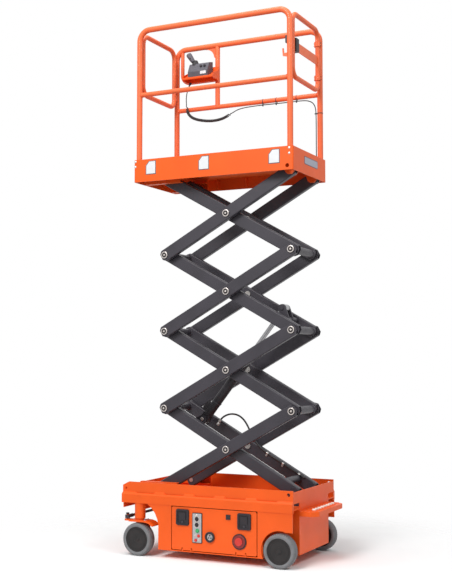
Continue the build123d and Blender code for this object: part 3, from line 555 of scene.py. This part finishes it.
def coil_points():
    """Helix round the coil's line, winding up from the straight lead and down again at its end."""
    line, reach = route_line(COIL)
    points = []
    travelled = 0.0
    while travelled < reach[-1]:
        near = min(travelled, reach[-1] - travelled)
        spot, direction = at_length(line, reach, travelled)
        across = direction.cross(Vector((0, 1, 0))).normalized()
        up = across.cross(direction)
        angle = 2 * math.pi * len(points) / TURN_POINTS
        radius = COIL_R * ease(near / COIL_OPEN)
        points.append(spot + radius * (across * math.cos(angle) + up * math.sin(angle)))
        wind = LOOSE_WIND + (1 / COIL_PITCH - LOOSE_WIND) * ease(near / COIL_WIND) ** 2
        travelled += 1 / (wind * TURN_POINTS)
    return points


def control_cord():
    points = [Vector(p) for p in LEAD_A[:-1]] + coil_points() + [Vector(p) for p in LEAD_B[1:]]
    line, reach = route_line(points)
    made = cord_curve("control_cord", points, CORD_D)
    made.data.splines[0].resolution_u = 3
    made.data.bevel_resolution = 2
    made.data.materials.append(m_rubber)
    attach(made, "platform")
    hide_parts("cord_lead_upper", "cord_coil", "cord_lead_lower")
    relief = bmesh.new()
    sleeve = [(0.0037, -0.001), (0.0095, -0.001)]
    for i in range(5):
        radius = 0.0088 - 0.0007 * i
        start = 0.005 * i
        groove = radius - 0.0013
        sleeve += [(radius, 0.004 + start), (groove, 0.0055 + start), (groove, 0.0075 + start)]
    sleeve += [(0.0042, 0.030), (0.0037, 0.030)]
    lathe(relief, sleeve, facing(LEAD_A[0], Vector(LEAD_A[1]) - Vector(LEAD_A[0])), 20, closed=True)
    grommet = [(0.0037, 0), (0.0095, 0), (0.0095, 0.003), (0.007, 0.006), (0.0037, 0.006)]
    lathe(relief, grommet, facing(LEAD_B[-1], (0, 0, 1)), 20, closed=True)
    reliefs = piece("cord_reliefs", relief, m_black, "platform")
    ties = bmesh.new()
    rail_y = (low("rail_left").y + high("rail_left").y) / -2
    for x, cord_y, cord_z in RAIL_TIES:
        circles = [(rail_y, MID_RAIL_Z, MID_RAIL_R), (cord_y, cord_z, CORD_D / 2)]
        strap(ties, circles, facing((x, 0, 0), (1, 0, 0)), TIE_WIDTH)
    post_x = low("rail_left").x + POST_R
    for z in POST_TIES:
        circles = [(post_x, rail_y, POST_R), (-0.4722, -0.256, CORD_D / 2)]
        strap(ties, circles, Matrix.Translation((0, 0, z)), TIE_WIDTH)
    tied = piece("cord_ties", ties, m_black, "platform")


control_cord()


# platform
PLATE_STATIONS = (0.497, 0.100, -0.399)
PLATE_Z = 2.5435
REAR_PLATE = (-0.017, 2.542)
POST_BOLTS_Z = (2.590, 2.556)
RIB_PITCH = 0.22
RIB_TOP = 2.5312
DECK_Z = 2.5383
LOZENGE_PITCH = 0.034
HINGES_Z = (3.150, 3.380)
STRIKER_Z = 3.205
CATCH_Z = 3.290
STICK_LEAN = math.radians(34)
pan_low = low("platform_pan")
pan_high = high("platform_pan")
post_x0 = low("rail_left").x + POST_R
post_x1 = high("rail_left").x - POST_R
post_y = high("rail_left").y - POST_R


def platform_plates():
    """Blank plates on the left toe board and on the rear toe board."""
    edges = bmesh.new()
    faces = bmesh.new()
    outline = [(-0.039, -0.046), (0.039, -0.046), (0.039, 0.046), (-0.014, 0.046), (-0.039, 0.016)]
    for x in PLATE_STATIONS:
        place = facing((x, pan_high.y, PLATE_Z), (0, 1, 0))
        slab(edges, outline, 0.0012, place)
        slab(faces, shrink(outline, 0.005), 0.0018, place)
    piece("side_plate_edges", edges, m_edge, "platform")
    piece("side_plates", faces, m_white, "platform")
    rear = facing((pan_low.x, *REAR_PLATE), (-1, 0, 0))
    edge = bmesh.new()
    slab(edge, rounded(0.232, 0.052, 0.010), 0.0012, rear)
    piece("rear_plate_edge", edge, m_edge, "platform")
    face = bmesh.new()
    slab(face, rounded(0.222, 0.042, 0.007), 0.0018, rear)
    piece("rear_plate", face, m_slate_plate, "platform")


def platform_bolts():
    """Bolts of the posts on the toe boards, and weld beads of the mid rails at the posts."""
    bolts = bmesh.new()
    for side, _ in SIDES:
        for x in (post_x0 - 0.003, post_x1 + 0.015):
            for z in POST_BOLTS_Z:
                dome_bolt(bolts, (x, side * pan_high.y, z), (0, side, 0), 0.0085)
    piece("post_bolts", bolts, m_bright, "platform")
    beads = bmesh.new()
    for side, _ in SIDES:
        for x, way in ((post_x0 + POST_R - 0.001, 1), (post_x1 - POST_R + 0.001, -1)):
            weld(beads, (x, side * post_y, MID_RAIL_Z), (way, 0, 0), MID_RAIL_R, 0.004)
    piece("rail_welds", beads, m_rail, "platform")


def pan_ribs():
    """Folded stiffeners inside the toe boards, under the floor."""
    ribs = bmesh.new()
    wall = pan_high.y - 0.006
    outline = [(0, 0), (0.030, 0), (0.030, -0.022), (0.010, -0.072), (0, -0.072)]
    for side, _ in SIDES:
        for i in range(5):
            x = pan_low.x + 0.14 + i * RIB_PITCH
            place = facing((x, side * wall, RIB_TOP), (1, 0, 0))
            points = [(-side * y, z) for y, z in outline]
            slab(ribs, points if side < 0 else list(reversed(points)), 0.004, place)
    piece("pan_ribs", ribs, m_panel, "platform")


def deck_tread():
    """Raised lozenges of the tread deck, turned by a quarter from one to the next."""
    tread = bmesh.new()
    lozenge = [(-0.012, 0), (0, -0.003), (0.012, 0), (0, 0.003)]
    margin = 0.062
    columns = int((post_x1 - post_x0 - 0.09) / LOZENGE_PITCH)
    lines = int((2 * post_y - 0.09) / LOZENGE_PITCH)
    for i in range(columns):
        for j in range(lines):
            x = post_x0 + margin + i * LOZENGE_PITCH
            y = -post_y + margin + j * LOZENGE_PITCH
            turn = Matrix.Rotation(math.radians(45 if (i + j) % 2 else -45), 4, "Z")
            slab(tread, lozenge, 0.0015, Matrix.Translation((x, y, DECK_Z)) @ turn, 0.0008)
    piece("deck_tread", tread, m_panel, "platform")


def gate_trim():
    """Hinge bolts of the gate, its latch lever, and the striker and catch on the left post."""
    caps = bmesh.new()
    hinge = Vector(JOINT["gate_swing"]["pos_m"])
    for z in HINGES_Z:
        for way in (-1, 1):
            for out in (1, -1):
                spot = (hinge.x + out * 0.0235, hinge.y, z + way * 0.009)
                dome_bolt(caps, spot, (out, 0, 0), 0.005)
    piece("gate_hinge_bolts", caps, m_black, "platform")
    lever = bmesh.new()
    box_low = low("gate_latch")
    box_high = high("gate_latch")
    mid_y = (box_low.y + box_high.y) / 2
    mid_z = (box_low.z + box_high.z) / 2
    place = facing((box_high.x - 0.0004, mid_y, mid_z), (1, 0, 0))
    slab(lever, rounded(0.034, 0.066, 0.006), 0.004, place, 0.0015)
    slab(lever, rounded(0.014, 0.048, 0.005), 0.014, place, 0.003)
    piece("gate_latch_lever", lever, m_black, "gate_body")
    striker = bmesh.new()
    place = facing((post_x0 + 0.012, post_y + 0.004, STRIKER_Z), (0, 1, 0))
    hook = [(0, -0.030), (-0.034, -0.022), (-0.038, 0.026), (-0.030, 0.028), (-0.026, -0.004), (0, -0.004)]
    sides = []
    for depth in (-0.004, 0.004):
        sides.append([striker.verts.new(place @ Vector((x, z, depth))) for x, z in hook])
    skin(striker, sides[0], sides[1])
    striker.faces.new(sides[1])
    striker.faces.new(list(reversed(sides[0])))
    piece("gate_striker", striker, m_rail, "platform")
    catch = bmesh.new()
    place = facing((post_x0 + 0.0155, post_y - 0.002, CATCH_Z), (1, 0, 0))
    slab(catch, rounded(0.022, 0.050, 0.004), 0.014, place, 0.003)
    piece("gate_catch", catch, m_black, "platform")


def control_trim():
    """Grip, bellows, knobs and blank plate of the operator's box."""
    box_low = low("control_box")
    box_high = high("control_box")
    tray_z = low("control_tray").z
    lean = Vector((math.sin(STICK_LEAN), 0, math.cos(STICK_LEAN)))
    base = Vector((box_low.x + 0.120, box_low.y + 0.034, tray_z + 0.118))
    boot = bmesh.new()
    profile = [(0, -0.014)]
    for i in range(5):
        radius = 0.0300 - 0.0032 * i
        profile += [(radius, -0.010 + 0.008 * i), (radius - 0.004, -0.006 + 0.008 * i)]
    lathe(boot, profile + [(0, 0.028)], facing(base + Vector((0, 0, 0.006)), (0, 0, 1)), 28)
    piece("stick_bellows", boot, m_rubber, "platform")
    grip = bmesh.new()
    shape = [(0, 0.030), (0.0135, 0.030), (0.0165, 0.040), (0.0175, 0.058), (0.0190, 0.074), (0.0198, 0.090)]
    shape += [(0.0190, 0.098), (0.0150, 0.1015), (0.007, 0.1025), (0, 0.1025)]
    lathe(grip, shape, facing(base, lean), 28)
    place = facing(base + lean * 0.072 + Vector((0, 0.0165, 0)), (0, 1, 0), lean)
    slab(grip, rounded(0.014, 0.030, 0.005), 0.008, place, 0.003)
    piece("stick_grip", grip, m_box, "platform")
    knobs = bmesh.new()
    face_y = box_high.y - 0.0012
    slope = Vector((0, 0.90, 0.43)).normalized()
    knob = [(0, -0.002), (0.009, -0.002), (0.009, 0.006), (0.007, 0.008), (0, 0.008)]
    for x in (0.030, 0.058):
        spot = (box_low.x + x, face_y - 0.016, box_low.z + 0.078)
        lathe(knobs, knob, facing(spot, slope), 20)
    piece("box_knobs", knobs, m_black, "platform")
    plate = bmesh.new()
    place = facing((box_low.x + 0.034, face_y + 0.0008, box_low.z + 0.028), (0, 1, 0.07))
    slab(plate, rounded(0.046, 0.022, 0.003), 0.0012, place)
    piece("box_plate", plate, m_white, "platform")


platform_plates()
platform_bolts()
pan_ribs()
deck_tread()
gate_trim()
control_trim()


# chassis
STEP_SLOTS = 9
STEP_MARGIN = 1.8
GUARD_PLATE_Z = 0.2258
door_low = low("door_left")
door_high = high("door_left")
skin_y = door_high.y


def side_switches():
    """Switch panel, socket and stop button of the left door."""
    x = door_high.x - 0.184
    z = door_high.z
    panel = bmesh.new()
    slab(panel, rounded(0.062, 0.180, 0.004), 0.0012, facing((x, skin_y + 0.005, z - 0.124), (0, 1, 0)))
    piece("switch_panel", panel, m_silver, "door_left_body")
    dark = bmesh.new()
    bright = bmesh.new()
    face = skin_y + 0.0058
    knob = [(0, 0), (0.0145, 0), (0.0145, 0.003), (0.0115, 0.0045)]
    knob += [(0.0105, 0.008), (0.009, 0.009), (0, 0.009)]
    ring = [(0.0135, 0), (0.0185, 0), (0.018, 0.003), (0.0138, 0.003)]
    for drop in (0.068, 0.104):
        place = facing((x, face, z - drop), (0, 1, 0))
        lathe(dark, knob, place, 24)
        lathe(bright, ring, place, 24, closed=True)
        slab(dark, rounded(0.006, 0.026, 0.002, 2), 0.011, place, 0.0015)
    key = facing((x + 0.004, face, z - 0.046), (0, 1, 0))
    lathe(bright, [(0, 0), (0.009, 0), (0.009, 0.004), (0.0075, 0.006), (0, 0.006)], key, 20)
    for drop, across in ((0.170, 0.012), (0.196, -0.012)):
        hex_bolt(bright, (x + across, face, z - drop), (0, 1, 0), 0.005)
    piece("switch_knobs", dark, m_black, "door_left_body")
    piece("switch_rings", bright, m_bright, "door_left_body")
    lamp_head = [(0, 0), (0.013, 0), (0.013, 0.005), (0.0105, 0.009), (0, 0.0105)]
    green = bmesh.new()
    lathe(green, lamp_head, facing((x - 0.004, face, z - 0.141), (0, 1, 0)), 24)
    piece("switch_lamp", green, m_green, "door_left_body")
    red = bmesh.new()
    for drop, across in ((0.172, -0.012), (0.200, 0.008)):
        lathe(red, lamp_head, facing((x + across, face, z - drop), (0, 1, 0)) @ Matrix.Scale(0.75, 4), 20)
    piece("switch_buttons", red, m_red, "door_left_body")
    socket_x = door_high.x - 0.275
    socket_z = z - 0.174
    lid = bmesh.new()
    place = facing((socket_x, skin_y + 0.010, socket_z), (0, 1, 0))
    lip = [(0.022, -0.004), (0.033, -0.004), (0.033, 0.001), (0.030, 0.003), (0.023, 0.003)]
    lathe(lid, lip, place, 32, closed=True)
    for i in range(3):
        angle = math.radians(90 + 120 * i)
        pin = place @ Matrix.Translation((0.010 * math.cos(angle), 0.010 * math.sin(angle), -0.0052))
        lathe(lid, [(0, 0), (0.0035, 0), (0.0035, 0.006), (0, 0.0075)], pin, 12)
    piece("socket_lip", lid, m_black, "door_left_body")
    cup = bmesh.new()
    bowl = [(0, -0.0052), (0.0195, -0.0052), (0.0195, -0.003), (0.0165, -0.0042), (0, -0.0042)]
    lathe(cup, bowl, place, 28)
    piece("socket_insert", cup, m_silver, "door_left_body")
    stop_x = door_high.x - 0.478
    stop_z = z - 0.188
    place = facing((stop_x, skin_y + 0.006, stop_z), (0, 1, 0))
    collar = bmesh.new()
    lathe(collar, [(0, -0.0004), (0.041, -0.0004), (0.039, 0.0022), (0.030, 0.0030), (0, 0.0030)], place, 40)
    piece("stop_collar", collar, m_deep_red, "door_left_body")
    head = bmesh.new()
    dome = [(0, 0.0026), (0.0235, 0.0026), (0.0250, 0.0050), (0.0250, 0.0090)]
    dome += [(0.0230, 0.0108), (0.012, 0.0115), (0, 0.0117)]
    lathe(head, dome, place, 40)
    piece("stop_head", head, m_red, "door_left_body")


def latch_trim(side, name):
    """Raised rim and lock of each latch on one door."""
    rims = bmesh.new()
    locks = bmesh.new()
    z1 = door_high.z - 0.013
    face = side * (skin_y + 0.007)
    for x in (door_high.x - 0.079, door_low.x + 0.083):
        place = facing((x, face, z1 - 0.0505), (0, side, 0))
        outer = rounded(0.092, 0.101, 0.012)
        inner = rounded(0.070, 0.077, 0.006)
        levels = [(outer, -0.001), (shrink(outer, 0.001), 0.0012)]
        levels += [(shrink(inner, -0.001), 0.0012), (inner, -0.001)]
        rings = []
        for loop, z in levels:
            rings.append([rims.verts.new(place @ Vector((p[0], p[1], z))) for p in loop])
        for first, second in zip(rings, rings[1:] + rings[:1]):
            skin(rims, first, second)
        lock = place @ Matrix.Translation((0, -0.030, -0.004))
        lathe(locks, [(0, 0), (0.0075, 0), (0.0075, 0.003), (0.006, 0.0042), (0, 0.0042)], lock, 20)
    body = "door_%s_body" % name
    piece("latch_rims_" + name, rims, m_black, body)
    piece("latch_locks_" + name, locks, m_arm, body)


def step_tread():
    """Raised teeth between the slots of the rear step, pale all over as a painted highlight."""
    bars = bmesh.new()
    step_low = low("rear_step")
    step_high = high("rear_step")
    row_x = (step_low.x + step_high.x) / 2 - 0.004
    pitch = (step_high.y - step_low.y) / (STEP_SLOTS + STEP_MARGIN)
    for i in range(STEP_SLOTS - 1):
        y = (i - (STEP_SLOTS - 2) / 2) * pitch
        place = Matrix.Translation((row_x, y, step_high.z - 0.0003))
        slab(bars, rounded(0.026, 0.017, 0.006), 0.010, place, 0.004)
    piece("step_tread", bars, m_tread_highlight, "chassis")


def steering_trim(side, name):
    """Bolts on the guard plate of a knuckle, behind the sweep of the tie rod."""
    nuts = bmesh.new()
    king = Vector(JOINT["steer"]["pos_m"])
    for dy in (-0.024, 0.018):
        hex_bolt(nuts, (king.x - 0.046, side * (king.y + dy), GUARD_PLATE_Z), (0, 0, 1), 0.007)
    piece("knuckle_bolts_" + name, nuts, m_zinc, "steer_" + name)


def tie_rod_nuts():
    """Nuts over the two ball joints of the tie rod."""
    nuts = bmesh.new()
    end = Vector(JOINT["tie_rod_pivot"]["pos_m"])
    cap = [(0, 0), (0.0125, 0), (0.0125, 0.007), (0.0105, 0.009), (0, 0.009)]
    for side, _ in SIDES:
        lathe(nuts, cap, facing((end.x, side * end.y, end.z + 0.0152), (0, 0, 1)), 6)
    piece("tie_rod_nuts", nuts, m_black, "tie_rod_body")


side_switches()
for side, name in SIDES:
    latch_trim(side, name)
    steering_trim(side, name)
step_tread()
tie_rod_nuts()


# wheels
LUGS = 44
GROOVE = 0.0026
CHEVRON_SKEW = 14
LUG_STEPS = ((0.0, 0), (0.07, 1), (0.23, 1), (0.30, 0), (0.65, 0))
HALF_PROFILE = [(0.080, 0.031), (0.0862, 0.0342), (0.0885, 0.035), (0.0905, 0.0344), (0.0925, 0.0347)]
HALF_PROFILE += [(0.0975, 0.0325), (0.1010, 0.0295), (0.1038, 0.0235), (0.1050, 0.0170), (0.1050, 0.0050)]
TREAD_FROM = 6


def tyre(node, body):
    """Grey tyre with chevron lugs cut into its tread."""
    centre = (low(node) + high(node)) / 2
    profile = [(r, y, i) for i, (r, y) in enumerate(HALF_PROFILE)]
    profile += [(r, -y, i) for i, (r, y) in reversed(list(enumerate(HALF_PROFILE)))]
    bm = bmesh.new()
    rings = []
    for radius, y, index in profile:
        ring = []
        in_tread = TREAD_FROM <= index < len(HALF_PROFILE) - 1
        skew = CHEVRON_SKEW * abs(y)
        for lug in range(LUGS):
            for share, cut in LUG_STEPS:
                angle = 2 * math.pi * (lug + share + skew) / LUGS
                r = radius - (GROOVE if cut and in_tread else 0)
                ring.append(bm.verts.new(centre + Vector((r * math.cos(angle), y, r * math.sin(angle)))))
        rings.append(ring)
    for first, second in zip(rings, rings[1:] + rings[:1]):
        skin(bm, first, second)
    made = piece(node + "_treaded", bm, m_tyre, body)
    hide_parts(node)


def hub_trim(node, body, side):
    """Bead ring and centre cap of a hub."""
    centre = (low(node) + high(node)) / 2
    face = max(abs(low(node).y), abs(high(node).y))
    place = facing((centre.x, side * (face - 0.003), centre.z), (0, side, 0))
    bm = bmesh.new()
    bead = [(0.060, -0.0004), (0.064, -0.0004), (0.0635, 0.0012), (0.0605, 0.0012)]
    cap = [(0, 0.0018), (0.0150, 0.0018), (0.0140, 0.0034), (0.0070, 0.0040), (0, 0.0040)]
    lathe(bm, bead, place, 48, closed=True)
    lathe(bm, cap, place, 32)
    piece(node + "_trim", bm, m_hub, body)


for side, name in SIDES:
    for end in ("front", "rear"):
        tyre("tyre_%s_%s" % (end, name), "wheel_%s_%s" % (end, name))
        hub_trim("hub_%s_%s" % (end, name), "wheel_%s_%s" % (end, name), side)


# stage
def make_floor():
    """White floor that fades out round the object."""
    mesh = bpy.data.meshes.new("floor")
    half = 6.0
    corners = [(-half, -half, 0), (half, -half, 0), (half, half, 0), (-half, half, 0)]
    mesh.from_pydata(corners, [], [(0, 1, 2, 3)])
    floor = bpy.data.objects.new("floor", mesh)
    bpy.context.collection.objects.link(floor)
    mat = material("floor_white", (0.92, 0.92, 0.92), rough=0.9, spec=0.1)
    tree = mat.node_tree
    coords = add_node(mat, "ShaderNodeTexCoord")
    length = add_node(mat, "ShaderNodeVectorMath", operation="LENGTH")
    fade = add_node(mat, "ShaderNodeMapRange")
    fade.interpolation_type = "SMOOTHSTEP"
    fade.inputs["From Min"].default_value = 0.75
    fade.inputs["From Max"].default_value = 2.2
    clear = add_node(mat, "ShaderNodeBsdfTransparent")
    mix = add_node(mat, "ShaderNodeMixShader")
    tree.links.new(coords.outputs["Object"], length.inputs[0])
    tree.links.new(length.outputs["Value"], fade.inputs["Value"])
    tree.links.new(fade.outputs["Result"], mix.inputs["Fac"])
    tree.links.new(tree.nodes["Principled BSDF"].outputs["BSDF"], mix.inputs[1])
    tree.links.new(clear.outputs["BSDF"], mix.inputs[2])
    tree.links.new(mix.outputs["Shader"], tree.nodes["Material Output"].inputs["Surface"])
    floor.data.materials.append(mat)


def make_world():
    """Soft light on the object, and white where the camera, metal or glass sees the background."""
    world = bpy.data.worlds.new("studio")
    bpy.context.scene.world = world
    world.use_nodes = True
    tree = world.node_tree
    soft = tree.nodes["Background"]
    soft.inputs["Color"].default_value = (1.0, 1.0, 1.0, 1)
    soft.inputs["Strength"].default_value = 0.40
    white = tree.nodes.new("ShaderNodeBackground")
    white.inputs["Color"].default_value = (1, 1, 1, 1)
    white.inputs["Strength"].default_value = 1.0
    path = tree.nodes.new("ShaderNodeLightPath")
    seen = tree.nodes.new("ShaderNodeMath")
    seen.operation = "MAXIMUM"
    through = tree.nodes.new("ShaderNodeMath")
    through.operation = "MAXIMUM"
    mix = tree.nodes.new("ShaderNodeMixShader")
    tree.links.new(path.outputs["Is Camera Ray"], seen.inputs[0])
    tree.links.new(path.outputs["Is Glossy Ray"], seen.inputs[1])
    tree.links.new(seen.outputs["Value"], through.inputs[0])
    tree.links.new(path.outputs["Is Transmission Ray"], through.inputs[1])
    tree.links.new(through.outputs["Value"], mix.inputs["Fac"])
    tree.links.new(soft.outputs["Background"], mix.inputs[1])
    tree.links.new(white.outputs["Background"], mix.inputs[2])
    tree.links.new(mix.outputs["Shader"], tree.nodes["World Output"].inputs["Surface"])


def lamp(name, place, target, size, power):
    light = bpy.data.lights.new(name, "AREA")
    light.shape = "DISK"
    light.size = size
    light.energy = power
    obj = bpy.data.objects.new(name, light)
    obj.location = place
    obj.rotation_euler = (Vector(target) - Vector(place)).to_track_quat("-Z", "Y").to_euler()
    bpy.context.collection.objects.link(obj)


make_floor()
make_world()
lamp("key", (0.6, 6.0, 6.2), (0, 0, 2.0), 3.0, 430)
lamp("rear_fill", (-4.5, 1.5, 5.5), (-0.5, 0, 3.0), 2.5, 110)
lamp("top", (0.5, 0.5, 8.0), (0, 0, 1.0), 3.0, 200)

camera = bpy.data.cameras.new("camera")
camera.sensor_fit = "VERTICAL"
camera.sensor_height = 36.0
camera.lens = 64.94
camera_object = bpy.data.objects.new("camera", camera)
camera_object.location = (-3.029, 6.309, 1.280)
yaw = math.radians(26.23)
tilt = math.radians(3.55)
look = Vector((math.sin(yaw) * math.cos(tilt), -math.cos(yaw) * math.cos(tilt), math.sin(tilt)))
camera_object.rotation_euler = look.to_track_quat("-Z", "Y").to_euler()
bpy.context.collection.objects.link(camera_object)
bpy.context.scene.camera = camera_object
bpy.context.scene.view_settings.view_transform = "Standard"
